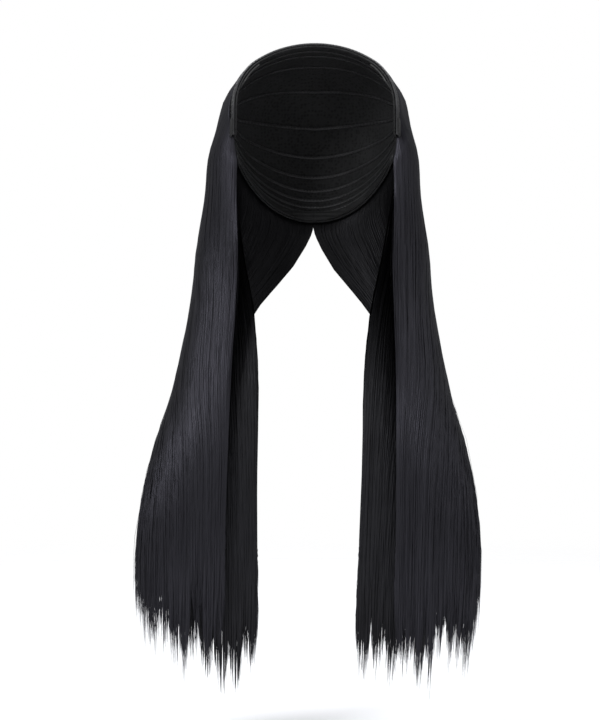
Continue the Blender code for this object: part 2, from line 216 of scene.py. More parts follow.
def ramp(tree, source, stops):
    """A colour ramp through (position, colour) stops."""
    node = tree.nodes.new("ShaderNodeValToRGB")
    node.color_ramp.elements[0].position, node.color_ramp.elements[0].color = stops[0]
    node.color_ramp.elements[1].position, node.color_ramp.elements[1].color = stops[-1]
    for position, colour in stops[1:-1]:
        node.color_ramp.elements.new(position).color = colour
    tree.links.new(source, node.inputs["Fac"])
    return node.outputs["Color"]


def spread(tree, source, low, high):
    """A number from 0 to 1, spread between a low and a high value."""
    node = tree.nodes.new("ShaderNodeMapRange")
    node.inputs["To Min"].default_value = low
    node.inputs["To Max"].default_value = high
    tree.links.new(source, node.inputs["Value"])
    return node.outputs["Result"]


def texture(tree, kind, **values):
    """A texture node that takes its place from Object coordinates."""
    node = add_node(tree, kind, **values)
    coordinates = tree.nodes.new("ShaderNodeTexCoord")
    tree.links.new(coordinates.outputs["Object"], node.inputs["Vector"])
    return node


def grey(value, tint=1.0):
    """A near-neutral colour, a little bluer for a tint above 1."""
    return (value, value, value * tint, 1.0)


# %% The fibre of the hair, and a darker copy of it with painted shade
DRIFT_STRETCH = (1.0, 1.0, 0.22)  # draws the drift of tone out along the fall
DRIFT_SHARE = 0.35  # of the tone, against the strand's own
GLOSS_RANGE = 0.07  # how far the roughness goes to either side
# Painted light at the strand ends comes up between these shares along a strand.
PAINTED_LIGHT_SPAN = (0.5, 0.85)  # shares along a strand between which the glow of its end comes up


def hair_material(name, dark, light, roughness, specular, tint, painted_end_light):
    """Satin black fibre whose tone and gloss vary from strand to strand and along each strand. Painted
    light lightens it towards the ends.
    """
    material, tree, shader = new_material(name)
    strand = add_node(tree, "ShaderNodeAttribute", attribute_name="strand")
    parts = tree.nodes.new("ShaderNodeSeparateColor")
    tree.links.new(strand.outputs["Color"], parts.inputs["Color"])
    coordinates = tree.nodes.new("ShaderNodeTexCoord")
    stretch = tree.nodes.new("ShaderNodeMapping")
    stretch.inputs["Scale"].default_value = DRIFT_STRETCH
    tree.links.new(coordinates.outputs["Object"], stretch.inputs["Vector"])
    drift = add_node(tree, "ShaderNodeTexNoise", Scale=60.0, Detail=3.0)
    tree.links.new(stretch.outputs["Vector"], drift.inputs["Vector"])
    mix = tree.nodes.new("ShaderNodeMix")
    mix.inputs["Factor"].default_value = DRIFT_SHARE
    tree.links.new(parts.outputs["Red"], mix.inputs["A"])
    tree.links.new(drift.outputs["Fac"], mix.inputs["B"])
    tone = mix.outputs["Result"]
    middle = grey((dark + light) / 2, 1.1)
    base = ramp(tree, tone, [(0.15, grey(dark, 1.06)), (0.55, middle), (0.9, grey(light, 1.14))])
    # Painted light: towards its end a strand's base colour is made lighter by a constant added colour.
    painted_light_mask = tree.nodes.new("ShaderNodeMapRange")
    painted_light_mask.inputs["From Min"].default_value = PAINTED_LIGHT_SPAN[0]
    painted_light_mask.inputs["From Max"].default_value = PAINTED_LIGHT_SPAN[1]
    tree.links.new(parts.outputs["Green"], painted_light_mask.inputs["Value"])
    lift = tree.nodes.new("ShaderNodeMix")
    lift.data_type = "RGBA"
    lift.blend_type = "ADD"
    lift.inputs["B"].default_value = grey(painted_end_light, 1.15)
    tree.links.new(painted_light_mask.outputs["Result"], lift.inputs["Factor"])
    tree.links.new(base, lift.inputs["A"])
    tree.links.new(lift.outputs["Result"], shader.inputs["Base Color"])
    gloss = spread(tree, tone, roughness + GLOSS_RANGE, roughness - GLOSS_RANGE)
    tree.links.new(gloss, shader.inputs["Roughness"])
    shader.inputs["Specular IOR Level"].default_value = specular
    shader.inputs["Specular Tint"].default_value = tint
    return material


HAIR_OUTER = hair_material(
    "hair_outer", dark=0.003, light=0.011, roughness=0.41, specular=0.35,
    tint=(0.84, 0.82, 1.0, 1), painted_end_light=0.0,
)
# The under layer's copy is darker and less glossy: painted shade, for the shade that it lies in behind
# the top layer. Towards its ends it gets painted light, where it comes out of that shade.
HAIR_SHADED = hair_material(
    "hair_shaded", dark=0.002, light=0.005, roughness=0.46, specular=0.14,
    tint=(0.95, 0.94, 1.0, 1), painted_end_light=0.010,
)


# %% Net, elastic, satin binding and plastic
WAVE_PERIOD = 2 * math.pi / 20  # the width of one band of a wave texture at a scale of 1


def net_material():
    """Black stretch net: small dark holes between threads, in soft relief."""
    material, tree, shader = new_material("cap_net")
    holes = texture(tree, "ShaderNodeTexVoronoi", Scale=330.0, Randomness=0.6)
    worn = texture(tree, "ShaderNodeTexNoise", Scale=35.0, Detail=4.0)
    thread = ramp(tree, holes.outputs["Distance"], [(0.15, grey(0.006)), (0.5, grey(0.02, 1.03))])
    mix = tree.nodes.new("ShaderNodeMix")
    mix.data_type = "RGBA"
    mix.blend_type = "MULTIPLY"
    mix.inputs["Factor"].default_value = 0.6
    tree.links.new(thread, mix.inputs["A"])
    tree.links.new(worn.outputs["Fac"], mix.inputs["B"])
    tree.links.new(mix.outputs["Result"], shader.inputs["Base Color"])
    bump = add_node(tree, "ShaderNodeBump", Strength=0.5, Distance=0.0006)
    tree.links.new(holes.outputs["Distance"], bump.inputs["Height"])
    tree.links.new(bump.outputs["Normal"], shader.inputs["Normal"])
    shader.inputs["Roughness"].default_value = 0.8
    shader.inputs["Specular IOR Level"].default_value = 0.25
    return material


def ribbed_material(name, dark, light, roughness, pitch, direction):
    """Woven elastic or satin binding: ribs at a pitch, along an axis."""
    material, tree, shader = new_material(name)
    ribs = texture(tree, "ShaderNodeTexWave", bands_direction=direction,
                   Scale=WAVE_PERIOD / pitch, Distortion=0.6)
    worn = texture(tree, "ShaderNodeTexNoise", Scale=90.0, Detail=5.0)
    base = ramp(tree, worn.outputs["Fac"], [(0.3, grey(dark)), (0.7, grey(light, 1.05))])
    tree.links.new(base, shader.inputs["Base Color"])
    bump = add_node(tree, "ShaderNodeBump", Strength=0.6, Distance=0.0004)
    tree.links.new(ribs.outputs["Fac"], bump.inputs["Height"])
    tree.links.new(bump.outputs["Normal"], shader.inputs["Normal"])
    gloss = spread(tree, worn.outputs["Fac"], roughness - 0.05, roughness + 0.05)
    tree.links.new(gloss, shader.inputs["Roughness"])
    shader.inputs["Specular IOR Level"].default_value = 0.3
    return material


def plastic_material():
    """Dark smooth plastic with faint handling marks."""
    material, tree, shader = new_material("comb_plastic")
    marks = texture(tree, "ShaderNodeTexNoise", Scale=260.0, Detail=6.0)
    base = ramp(tree, marks.outputs["Fac"], [(0.3, grey(0.020)), (0.75, grey(0.034, 0.95))])
    tree.links.new(base, shader.inputs["Base Color"])
    gloss = spread(tree, marks.outputs["Fac"], 0.22, 0.42)
    tree.links.new(gloss, shader.inputs["Roughness"])
    return material


NET = net_material()
ELASTIC = ribbed_material(
    "band_elastic", dark=0.008, light=0.016, roughness=0.62, pitch=0.00377, direction="Z",
)
BINDING = ribbed_material(
    "satin_binding", dark=0.020, light=0.034, roughness=0.38, pitch=0.002827, direction="X",
)
PLASTIC = plastic_material()
print("Materials:", [m.name for m in (HAIR_OUTER, HAIR_SHADED, NET, ELASTIC, BINDING, PLASTIC)])

# %% [markdown]
# ## The head form
#
# Everything on the cap lies at some height over one rounded form, the head that it fits. It is an
# ellipsoid whose upper half is low and whose lower half is deep. One function pushes any point on
# to it, and a second one walks over the cap from its front edge to its lower edge.

# %% The head form and the cap's two edges
CAP_WALL = 0.0015
CROWN_HEIGHT = 0.060
SKULL_DEPTH = 0.120
HEAD_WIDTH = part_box("cap")[1].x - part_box("cap")[0].x - 2 * CAP_WALL
HEAD_LENGTH = 0.188
HEAD_MIDDLE = np.array((0.0, 0.0, -CROWN_HEIGHT))
HEAD_HALVES = np.array((HEAD_WIDTH, HEAD_LENGTH)) / 2
SAMPLES = 160  # points at which an edge or a column of the cap is measured

# Turns about the head's middle, in degrees. Columns: side, sweep
FRONT_EDGE = (
    (0.0, 86.0), (20.0, 87.0), (38.0, 92.0), (48.0, 105.0),
    (55.5, 118.0), (63.0, 139.0), (66.3, 176.0), (66.6, 204.0),
)
LOWER_EDGE = (
    (0.0, -48.0), (30.0, -49.0), (55.0, -51.0), (72.0, -60.0), (83.0, -92.0), (74.0, -135.0),
)


def on_head(points, lift=0.0):
    """Points of the head form, grown by lift, on the lines from its middle through the points."""
    arms = np.atleast_2d(np.asarray(points, float)) - HEAD_MIDDLE
    halves = np.empty_like(arms)
    halves[:, :2] = HEAD_HALVES
    halves[:, 2] = np.where(arms[:, 2] < 0, SKULL_DEPTH, CROWN_HEIGHT)
    halves += np.asarray(lift, float).reshape(-1, 1)
    return HEAD_MIDDLE + arms / np.linalg.norm(arms / halves, axis=1, keepdims=True)


def curve_through(points, shares):
    """Points at shares of the length of a smooth curve through the control points."""
    points = np.asarray(points, float)
    steps = np.linalg.norm(np.diff(points[:, :3], axis=0), axis=1)
    knots = np.concatenate(((0.0,), np.cumsum(steps)))
    tangents = np.gradient(points, knots, axis=0)
    at = np.clip(np.asarray(shares, float), 0, 1) * knots[-1]
    left = np.clip(np.searchsorted(knots, at, side="right") - 1, 0, len(knots) - 2)
    span = knots[left + 1] - knots[left]
    t = ((at - knots[left]) / span)[:, None]
    span = span[:, None]
    return (
        (2 * t**3 - 3 * t**2 + 1) * points[left]
        + (t**3 - 2 * t**2 + t) * span * tangents[left]
        + (3 * t**2 - 2 * t**3) * points[left + 1]
        + (t**3 - t**2) * span * tangents[left + 1]
    )


def lengths_along(path):
    """The distance along a path at each of its points."""
    steps = np.linalg.norm(np.diff(path[:, :3], axis=0), axis=1)
    return np.concatenate(((0.0,), np.cumsum(steps)))


def edge_curve(rows):
    """A smooth curve over the head form through turned points."""
    side, sweep = np.radians(np.array(rows)).T
    arms = np.stack((np.sin(side), np.cos(side) * np.cos(sweep), np.cos(side) * np.sin(sweep)), 1)
    halves = np.tile((*HEAD_HALVES, CROWN_HEIGHT), (len(rows), 1))
    halves[arms[:, 2] < 0, 2] = SKULL_DEPTH
    return curve_through(HEAD_MIDDLE + arms * halves, np.linspace(0, 1, SAMPLES))


FRONT_CURVE = edge_curve(FRONT_EDGE)
LOWER_CURVE = edge_curve(LOWER_EDGE)
FRONT_LENGTH = lengths_along(FRONT_CURVE)[-1]
print(f"Head form {HEAD_WIDTH * 1000:.0f} mm wide, front edge {FRONT_LENGTH * 2000:.0f} mm long")


# %% Points over the cap
def edge_points(edge, across):
    """Points at shares of an edge: 0 in the middle, 1 at the right temple, -1 at the left."""
    across = np.atleast_1d(across)
    lengths = lengths_along(edge)
    at = np.abs(across) * lengths[-1]
    points = np.stack([np.interp(at, lengths, edge[:, axis]) for axis in range(3)], 1)
    points[:, 0] *= np.sign(across)
    return points


def cap_points(across, down, lift=0.0):
    """Points over the cap, between its front edge (down is 0) and its lower edge (down is 1)."""
    front, lower = edge_points(FRONT_CURVE, across), edge_points(LOWER_CURVE, across)
    return on_head(front + np.reshape(down, (-1, 1)) * (lower - front), lift)


def down_share(across, distance, from_lower=False):
    """The share of a cap column that lies a distance from the front edge, or from the lower one."""
    shares = np.linspace(0, 1, SAMPLES)
    column = cap_points(np.full(SAMPLES, across), 1 - shares if from_lower else shares)
    share = float(np.interp(distance, lengths_along(column), shares))
    return 1 - share if from_lower else share


# %% [markdown]
# ## How the hair flows
#
# Four layers make the hair: a top layer and an under layer on each side. A layer is a sheet of
# paths. Each path leaves the cap, rounds it, turns forward below it and hangs down in front. The
# tables below hold the plan sections that those paths pass through. They are the sections of the
# solids, only a little closer at the temples, and their lengths are shares of the named sizes.
# Between the sections a smooth curve finds the way.
#
# Modelling a strand at a time by hand would take weeks, and a particle system can't be exported.
# A sheet of paths gives both control and number: a strand needs only its place across the sheet
# and its depth in the layer, and the sheet gives all its points.

# %% The sections of the hair
HAIR_DROP = -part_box("hair_under_left")[0].z
NECK_GAP = 0.090  # half of it is how far from the middle an across of 0 lies
HEM_SPREAD = 0.290  # half of it is the same for an across of 1
FALL_FORWARD = 0.096  # how far in front of the crown a fore of -1 lies
HEM_DRIFT = -0.0085  # how far along X both falls have moved by the hem
DRIFT_START = 0.16  # the drop where that starts
TOP_THICKNESS = 0.012
UNDER_THICKNESS = 0.009
BAND_WIDTH = 0.010
BAND_COVER = 0.001  # how far the top layer's roots lie under the band
TOP_ROOT_SHARE = 0.24  # the share of its thickness that the layer has at its roots
UNDER_ROOT_SHARE = 0.30
UNDER_EDGE_SHARE = 0.50  # the same at the cap's lower edge
UNDER_ROOT_RISE = 0.016  # from that edge up to the under layer's roots
UNDER_FLARE = 0.10
UNDER_REACH = 0.70  # how far round to the temples the under layer's roots go
HAIR_SEAT = 0.0008  # between the cap and the hair
HAIR_LIFT = 0.0022
TURN_EASE = 1.5
EDGE_SHARE = 0.45  # the share of its thickness that a layer keeps at its edges

# Columns: front drop, back drop, front turn, front lift, side lift, back lift, thickness share
TOP_RINGS = (
    (0.51, 0.52, 108.0, 0.024, 0.104, 0.052, 0.50),
    (0.66, 0.80, 110.0, 0.078, 0.182, 0.085, 0.58),
)
# Columns: drop, then across and fore of four points, then thickness share
TOP_FALL = (
    (0.320, 0.24, -0.50, 0.46, -0.10, 0.40, 0.42, -0.12, 0.74, 0.68),
    (0.410, 0.26, -0.60, 0.47, -0.32, 0.48, 0.10, 0.26, 0.40, 0.76),
    (0.515, 0.29, -0.73, 0.50, -0.62, 0.60, -0.34, 0.54, 0.02, 0.88),
    (0.625, 0.31, -0.86, 0.52, -0.85, 0.70, -0.71, 0.78, -0.48, 1.00),
    (0.740, 0.32, -0.93, 0.55, -0.95, 0.78, -0.90, 0.93, -0.75, 1.00),
    (0.870, 0.32, -0.93, 0.56, -0.96, 0.80, -0.92, 0.96, -0.79, 0.80),
    (1.000, 0.32, -0.91, 0.55, -0.94, 0.78, -0.90, 0.93, -0.78, 0.45),
)
UNDER_FALL = (
    (0.335, 0.14, -0.10, 0.26, 0.20, 0.08, 0.46, -0.28, 0.60, 0.62),
    (0.410, 0.05, -0.32, 0.22, -0.08, 0.28, 0.18, 0.06, 0.42, 0.76),
    (0.515, 0.00, -0.56, 0.18, -0.48, 0.31, -0.26, 0.31, 0.01, 0.92),
    (0.625, 0.00, -0.72, 0.18, -0.71, 0.36, -0.62, 0.48, -0.44, 1.00),
    (0.740, -0.01, -0.80, 0.18, -0.81, 0.38, -0.78, 0.54, -0.67, 1.00),
    (0.870, -0.03, -0.81, 0.18, -0.82, 0.38, -0.80, 0.54, -0.70, 0.85),
    (1.000, -0.04, -0.80, 0.17, -0.81, 0.37, -0.79, 0.52, -0.70, 0.50),
)
# The locks, from the inner edge outwards. Columns: drop of the tip, drop where it parts from the next
LOCKS = {
    "hair_top_left": (
        (0.925, 0.880), (0.955, 0.850), (0.915, 0.800), (0.980, 0.900), (0.960, 0.885),
        (0.930, 0.870), (0.940, 0.880), (0.925, 0.850), (0.890, 0.840),
    ),
    "hair_top_right": (
        (0.945, 0.870), (0.955, 0.900), (0.965, 0.855), (0.997, 0.870), (0.950, 0.853),
        (0.960, 0.900), (0.965, 0.880), (0.985, 0.890), (0.915, 0.850),
    ),
    "hair_under_left": (
        (0.968, 0.915), (0.997, 0.930), (1.000, 0.925), (0.980, 0.890), (0.950, 0.880),
    ),
    "hair_under_right": (
        (0.980, 0.905), (0.970, 0.900), (0.985, 0.910), (0.970, 0.895), (0.998, 0.910),
    ),
}


# %% Paths of the top layer and of the under layer
def ring_points(ring, shares):
    """Where the top layer passes round the head, with its thickness share."""
    front_drop, back_drop, turn_deg, front_lift, side_lift, back_lift, body = ring
    drop = (front_drop + shares * (back_drop - front_drop)) * (CROWN_HEIGHT + SKULL_DEPTH)
    turn = math.radians(turn_deg) * (1 - shares**TURN_EASE)
    lift = HEAD_WIDTH * (
        (1 - shares) * (1 - 2 * shares) * front_lift
        + 4 * shares * (1 - shares) * side_lift
        + shares * (2 * shares - 1) * back_lift
    )
    flat = np.stack((-np.sin(turn) * HEAD_HALVES[0], np.cos(turn) * HEAD_HALVES[1]), 1)
    level = (drop - CROWN_HEIGHT) / SKULL_DEPTH
    plan = flat * np.sqrt(1 - level**2)[:, None]
    plan += flat / np.linalg.norm(flat, axis=1, keepdims=True) * lift[:, None]
    return np.column_stack((plan, -drop, np.full(len(shares), body)))


def fall_points(row, shares):
    """One plan section of the falling hair, at shares of its width."""
    drop, *plan, body = row
    corners = []
    for across, fore in zip(plan[0::2], plan[1::2]):
        x = -NECK_GAP / 2 - across * (HEM_SPREAD - NECK_GAP) / 2
        y = fore * (HEAD_LENGTH / 2 if fore > 0 else FALL_FORWARD)
        corners.append((x, y, -drop * HAIR_DROP, body))
    return curve_through(corners, shares)


def top_controls(shares):
    """Control points of the top layer, as an array of path, point and x, y, z, thickness."""
    across = -(1 - shares)
    downs = [down_share(a, BAND_WIDTH - BAND_COVER) for a in across]
    roots = cap_points(across, downs, CAP_WALL + HAIR_SEAT)
    roots = np.column_stack((roots, np.full(len(shares), TOP_ROOT_SHARE)))
    rings = [ring_points(ring, shares) for ring in TOP_RINGS]
    stages = [roots]
    for step in (1, 2):
        between = roots + (rings[0] - roots) * step / 3
        between[:, :3] = on_head(between[:, :3], CAP_WALL + HAIR_LIFT * step)
        stages.append(between)
    return np.array(stages + rings + [fall_points(row, shares) for row in TOP_FALL]).swapaxes(0, 1)


def under_controls(shares):
    """Control points of the under layer, in the same form."""
    across = -UNDER_REACH * (1 - shares)
    stages = []
    for step in (0.0, 0.5, 1.0):
        downs = [down_share(a, (1 - step) * UNDER_ROOT_RISE, True) for a in across]
        points = cap_points(across, downs, CAP_WALL + HAIR_SEAT + step * UNDER_ROOT_RISE * UNDER_FLARE)
        body = UNDER_ROOT_SHARE + step * (UNDER_EDGE_SHARE - UNDER_ROOT_SHARE)
        stages.append(np.column_stack((points, np.full(len(shares), body))))
    return np.array(stages + [fall_points(row, shares) for row in UNDER_FALL]).swapaxes(0, 1)


# %% Turn the paths into a sheet that can be asked for any point
SHEET_COLUMNS = 97
SHEET_ROWS = 121
EASING = 6  # rounds of easing along the paths
EDGE_WIDTH = 1 / 12  # the share of its width over which a layer thins towards each edge
LEAST_THICKNESS = 0.0008
PROBE_STEP = 12  # one path in so many is enough to find the bends
BEND_WEIGHT = 2.2  # how strongly the bends draw the stations together, against plain length
SIDES = {"left": -1, "right": 1}  # signs along X
# How each top layer leans. Columns: drop, metres its inner edge goes in, metres its middle goes out
LEAN = {
    "hair_top_left": (
        (0.08, 0.0000, 0.0000), (0.13, 0.0000, 0.0025), (0.19, 0.0012, 0.0036),
        (0.27, 0.0045, 0.0038), (0.37, 0.0070, 0.0030), (0.52, 0.0070, 0.0008),
        (0.62, 0.0065, 0.0000),
    ),
    "hair_top_right": ((0.15, 0.0000, 0.0000), (0.35, 0.0030, 0.0010), (1.00, 0.0030, 0.0000)),
}


class Sheet:
    """A layer of hair: its inner surface, its outward direction and its thickness everywhere."""

    def __init__(self, side, controls_of, thickness, lean_rows=()):
        shares = np.linspace(0, 1, SHEET_COLUMNS)
        paths = [curve_through(c, np.linspace(0, 1, SHEET_ROWS)) for c in controls_of(shares)]
        grid = np.array(paths)
        drop = -grid[..., 2] / HAIR_DROP
        grid[..., 0] -= side * HEM_DRIFT * np.clip((drop - DRIFT_START) / (1 - DRIFT_START), 0, 1)
        if lean_rows:
            drops, inwards, outwards = np.array(lean_rows).T
            grid[..., 0] += np.interp(drop, drops, inwards) * ((1 - shares) ** 2)[:, None]
            grid[..., 0] -= np.interp(drop, drops, outwards) * (4 * shares * (1 - shares))[:, None]
        grid[..., 0] *= -side
        for _ in range(EASING):
            grid[:, 1:-1, :3] = (grid[:, :-2, :3] + 2 * grid[:, 1:-1, :3] + grid[:, 2:, :3]) / 4
        self.inner = grid[..., :3]
        edge = np.sqrt(np.clip(np.minimum(shares, 1 - shares) / EDGE_WIDTH, 0, 1))
        self.thick = grid[..., 3] * thickness * (EDGE_SHARE + (1 - EDGE_SHARE) * edge)[:, None]
        across = np.gradient(self.inner, axis=0)
        along = np.gradient(self.inner, axis=1)
        out = np.cross(along, across) * side
        self.out = out / np.linalg.norm(out, axis=2, keepdims=True)
        self.side = side

    def read(self, values, s, t):
        """Values of the sheet at shares s across it and t along it, also a little past its edges."""
        u, v = s * (SHEET_COLUMNS - 1), np.clip(t, 0, 1) * (SHEET_ROWS - 1)
        i = np.clip(np.floor(u), 0, SHEET_COLUMNS - 2).astype(int)
        j = np.minimum(v.astype(int), SHEET_ROWS - 2)
        a, b = u - i, v - j
        if values.ndim == 3:
            a, b = a[..., None], b[..., None]
        low = values[i, j] * (1 - b) + values[i, j + 1] * b
        high = values[i + 1, j] * (1 - b) + values[i + 1, j + 1] * b
        return low * (1 - a) + high * a

    def place(self, s, t, depth):
        """Points at a depth share in the layer, 0 on its underside and 1 on its outside."""
        lift = np.maximum(self.read(self.thick, s, t), LEAST_THICKNESS) * depth
        return self.read(self.inner, s, t) + self.read(self.out, s, t) * lift[..., None]

    def row_of_drop(self, s, drop):
        """The share along the path where it has come down to a drop."""
        heights = -self.inner[..., 2] / HAIR_DROP
        column = np.clip(np.round(s * (SHEET_COLUMNS - 1)), 0, SHEET_COLUMNS - 1).astype(int)
        rows = np.linspace(0, 1, SHEET_ROWS)
        return np.array([np.interp(d, heights[c], rows) for c, d in zip(column, drop)])

    def stations(self, count):
        """Shares along the paths, closer together where the paths bend."""
        steps = np.diff(self.inner[::PROBE_STEP], axis=1)
        lengths = np.linalg.norm(steps, axis=2)
        heading = steps / lengths[..., None]
        turn = np.clip((heading[:, 1:] * heading[:, :-1]).sum(axis=2), -1, 1)
        bend = np.concatenate(((0.0,), np.arccos(turn).mean(axis=0)))
        length = lengths.mean(axis=0)
        effort = np.cumsum(length / length.sum() + BEND_WEIGHT * bend / bend.sum())
        effort = np.concatenate(((0.0,), effort)) / effort[-1]
        return np.interp(np.linspace(0, 1, count), effort, np.linspace(0, 1, SHEET_ROWS))


SHEETS = {}
for side_name, side in SIDES.items():
    node = f"hair_top_{side_name}"
    SHEETS[node] = Sheet(side, top_controls, TOP_THICKNESS, LEAN[node])
    SHEETS[f"hair_under_{side_name}"] = Sheet(side, under_controls, UNDER_THICKNESS)
for name, sheet in SHEETS.items():
    print(name, "hangs to", round(float(sheet.inner[..., 2].min()), 3), "m")

# %% [markdown]
# ## The core of each layer
#
# Behind the strands lies a core, a thin wall in the middle of the layer. It stops the light from
# showing through, so that the strands need to cover it and not to fill the layer. It starts as a
# flat grid, which is laid on the sheet, and a Solidify modifier makes it a wall. It ends well above
# the tips, because there the hair has to thin out.

# %% Make the four cores
CORE_COLUMNS = 32
CORE_ROWS = 48
CORE_DEPTH = 0.45
CORE_WALL = 0.0008
CORE_END = 0.80  # the drop where it ends
CORE_INSET = 0.004  # the share that it stays inside the layer's edges and roots
# The core's darker tone is painted shade for the depth of the layer, seen between the strands.
CORE_SHADE_TONE = (0.1, 0.5, 0.5, 1.0)  # darker than most strands


def link_piece(name, mesh, material):
    """An object for a mesh, smooth and with its material."""
    mesh.shade_smooth()
    piece = bpy.data.objects.new(name, mesh)
    bpy.context.scene.collection.objects.link(piece)
    piece.data.materials.append(material)
    return piece


def layer_of(node):
    """The name of a node without its side."""
    return node.rsplit("_", 1)[0]


def add_core(node, sheet, material):
    """The wall in the middle of a layer, from its roots to well above its tips."""
    bm = bmesh.new()
    bmesh.ops.create_grid(bm, x_segments=CORE_COLUMNS, y_segments=CORE_ROWS, size=0.5)
    flat = np.array([vert.co[:2] for vert in bm.verts]) + 0.5
    s = CORE_INSET + (1 - 2 * CORE_INSET) * flat[:, 0]
    ends = sheet.row_of_drop(s, np.full(len(s), CORE_END))
    places = sheet.place(s, ends * (CORE_INSET + (1 - CORE_INSET) * flat[:, 1]), CORE_DEPTH)
    for vert, place in zip(bm.verts, places):
        vert.co = place
    if sheet.side < 0:
        bmesh.ops.reverse_faces(bm, faces=bm.faces)
    mesh = take_mesh(bm, f"{node}_core")
    tone = mesh.color_attributes.new("strand", "FLOAT_COLOR", "POINT")
    tone.data.foreach_set("color", np.tile(CORE_SHADE_TONE, len(mesh.vertices)))
    core = link_piece(f"{node}_core", mesh, material)
    wall = core.modifiers.new("wall", "SOLIDIFY")
    wall.thickness = CORE_WALL
    wall.offset = 0.0
    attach(core, "root")
    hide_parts(node)


# The under layers wear the darker copy, with its painted shade.
LAYER_MATERIAL = {"hair_top": HAIR_OUTER, "hair_under": HAIR_SHADED}
for name, sheet in SHEETS.items():
    add_core(name, sheet, LAYER_MATERIAL[layer_of(name)])
print("Cores:", ", ".join(f"{name}_core" for name in SHEETS))

# %% [markdown]
# ## The strands
#
# A strand of this wig is a flat bundle of fibres, about a millimetre wide. Round tubes would cost
# eight faces at each step, and a flat ribbon would shade like paper. A ribbon folded along its
# middle costs two faces and, shaded smooth, catches the light along its ridge as a round strand
# does. Thousands of them are joined in one mesh, built from arrays, because no operator lays out
# this many shapes in a reasonable time.
#
# Straight hair isn't a comb's row of parallel lines. Each strand wanders a little to the side and
# in depth, keeps to its own lock, and ends where it likes: few reach the tip of the lock, so the
# ends fade out in wisps. The random numbers have a fixed seed, so each run gives the same hair.

# %% Slow waves and striped tones
TONE_STRIPES = (7, 19, 61)  # broad, middling and narrow
TONE_CONTRAST = 1.6
OWN_TONE = 0.38  # the share of a strand's tone that it doesn't have from its stripes


def slow_wave(rng, count, shares, waves):
    """For each strand a slow random wave along its stations, between about -1 and 1."""
    total = np.zeros((count, len(shares)))
    for wave in range(1, waves + 1):
        turn = rng.uniform(0, 2 * np.pi, (count, 1))
        speed = rng.uniform(0.4, 1.3, (count, 1)) * wave
        total += np.sin(2 * np.pi * speed * shares[None, :] + turn) / wave
    return total / 1.4


def striped_tone(rng, places):
    """A tone for each strand that it shares, in part, with its neighbours."""
    tone = np.zeros(len(places))
    for count in TONE_STRIPES:
        knots = rng.uniform(0, 1, count + 1)
        tone += np.interp(places, np.linspace(0, 1, count + 1), knots) / len(TONE_STRIPES)
    tone = (tone - 0.5) * TONE_CONTRAST + 0.5
    return np.clip((1 - OWN_TONE) * tone + OWN_TONE * rng.uniform(0, 1, len(places)), 0, 1)


# %% Join folded ribbons in one mesh
RIDGE_SHARE = 0.35  # height of a strand's fold, as a share of its width


def strand_mesh(name, centres, outward, widths, tones):
    """Joins folded ribbons in one mesh. Centres are an array of strand, station and x, y, z."""
    count, stations, _ = centres.shape
    along = np.gradient(centres, axis=1)
    along /= np.linalg.norm(along, axis=2, keepdims=True)
    across = np.cross(outward, along)
    across /= np.linalg.norm(across, axis=2, keepdims=True)
    half = widths[..., None] / 2
    ridge = centres + outward * half * 2 * RIDGE_SHARE
    rows = np.stack((centres - across * half, ridge, centres + across * half), axis=2)
    verts = rows.reshape(-1, 3)
    first = np.arange(count)[:, None, None] * stations * 3
    step = np.arange(stations - 1)[None, :, None] * 3
    lane = np.arange(2)[None, None, :]
    corner = first + step + lane
    faces = np.stack((corner, corner + 1, corner + 4, corner + 3), axis=-1).reshape(-1, 4)
    mesh = bpy.data.meshes.new(name)
    mesh.vertices.add(len(verts))
    mesh.vertices.foreach_set("co", verts.ravel())
    mesh.loops.add(faces.size)
    mesh.loops.foreach_set("vertex_index", faces.ravel())
    mesh.polygons.add(len(faces))
    mesh.polygons.foreach_set("loop_start", np.arange(0, faces.size, 4))
    mesh.update(calc_edges=True)
    colours = np.ones((count, stations, 3, 4))
    colours[..., 0] = tones[:, None, None]
    colours[..., 1] = np.linspace(0, 1, stations)[None, :, None]
    tone = mesh.color_attributes.new("strand", "FLOAT_COLOR", "POINT")
    tone.data.foreach_set("color", colours.ravel())
    return mesh


# %% Where strands end, and how they gather
WISP_DROP = 0.070  # how far a lock's last hairs reach past the place where it is full
THINNING = 0.66  # how evenly those hairs end: 1 is evenly, and less is sooner
FULL_SPREAD = 0.12  # how far above that place the other hairs end
FULL_SCATTER = 0.006
TIP_SCATTER = 0.008
DEEP_VALLEY = 0.86  # locks that part above this drop leave an open slit
SLIM_TIP = 2.2  # how a lock narrows beside an open slit: less is sooner
BROAD_TIP = 3.5  # the same beside a neighbour that it parts from lower down
GATHER_START = 0.80  # the share of the path where strands start to gather
GATHER_CURVE = 1.4


def strand_ends(rng, s, node, tail):
    """The drop where each strand ends: most end where a lock is full, and a tail of them goes on."""
    locks = LOCKS[node]
    lock = np.clip((s * len(locks)).astype(int), 0, len(locks) - 1)
    tips = np.array([tip for tip, _ in locks])[lock]
    place = np.clip(s * len(locks) - lock - 0.5, -0.5, 0.5)
    splits = np.array([split for _, split in locks])
    valley = np.where(place > 0, splits[lock], splits[np.maximum(lock - 1, 0)])
    narrowing = np.where(valley < DEEP_VALLEY, SLIM_TIP, BROAD_TIP)
    longest = tips - (tips - valley) * (2 * np.abs(place)) ** narrowing
    longest += rng.normal(0, TIP_SCATTER, len(s))
    full = tips - WISP_DROP + rng.normal(0, FULL_SCATTER, len(s))
    ends = full - rng.uniform(0, FULL_SPREAD, len(s))
    beyond = full + np.maximum(longest - full, 0) * (1 - rng.uniform(0, 1, len(s)) ** THINNING)
    ends = np.where(rng.uniform(0, 1, len(s)) < tail, beyond, ends)
    return np.minimum(ends, longest)


def gathered(s, places, t, count, strength):
    """Draws strands, near their ends, towards the middles of so many locks or wisps."""
    middle = (np.clip(np.floor(places * count), 0, count - 1) + 0.5) / count
    pull = strength * np.clip((t - GATHER_START) / (1 - GATHER_START), 0, 1) ** GATHER_CURVE
    return s + (middle[:, None] - s) * pull


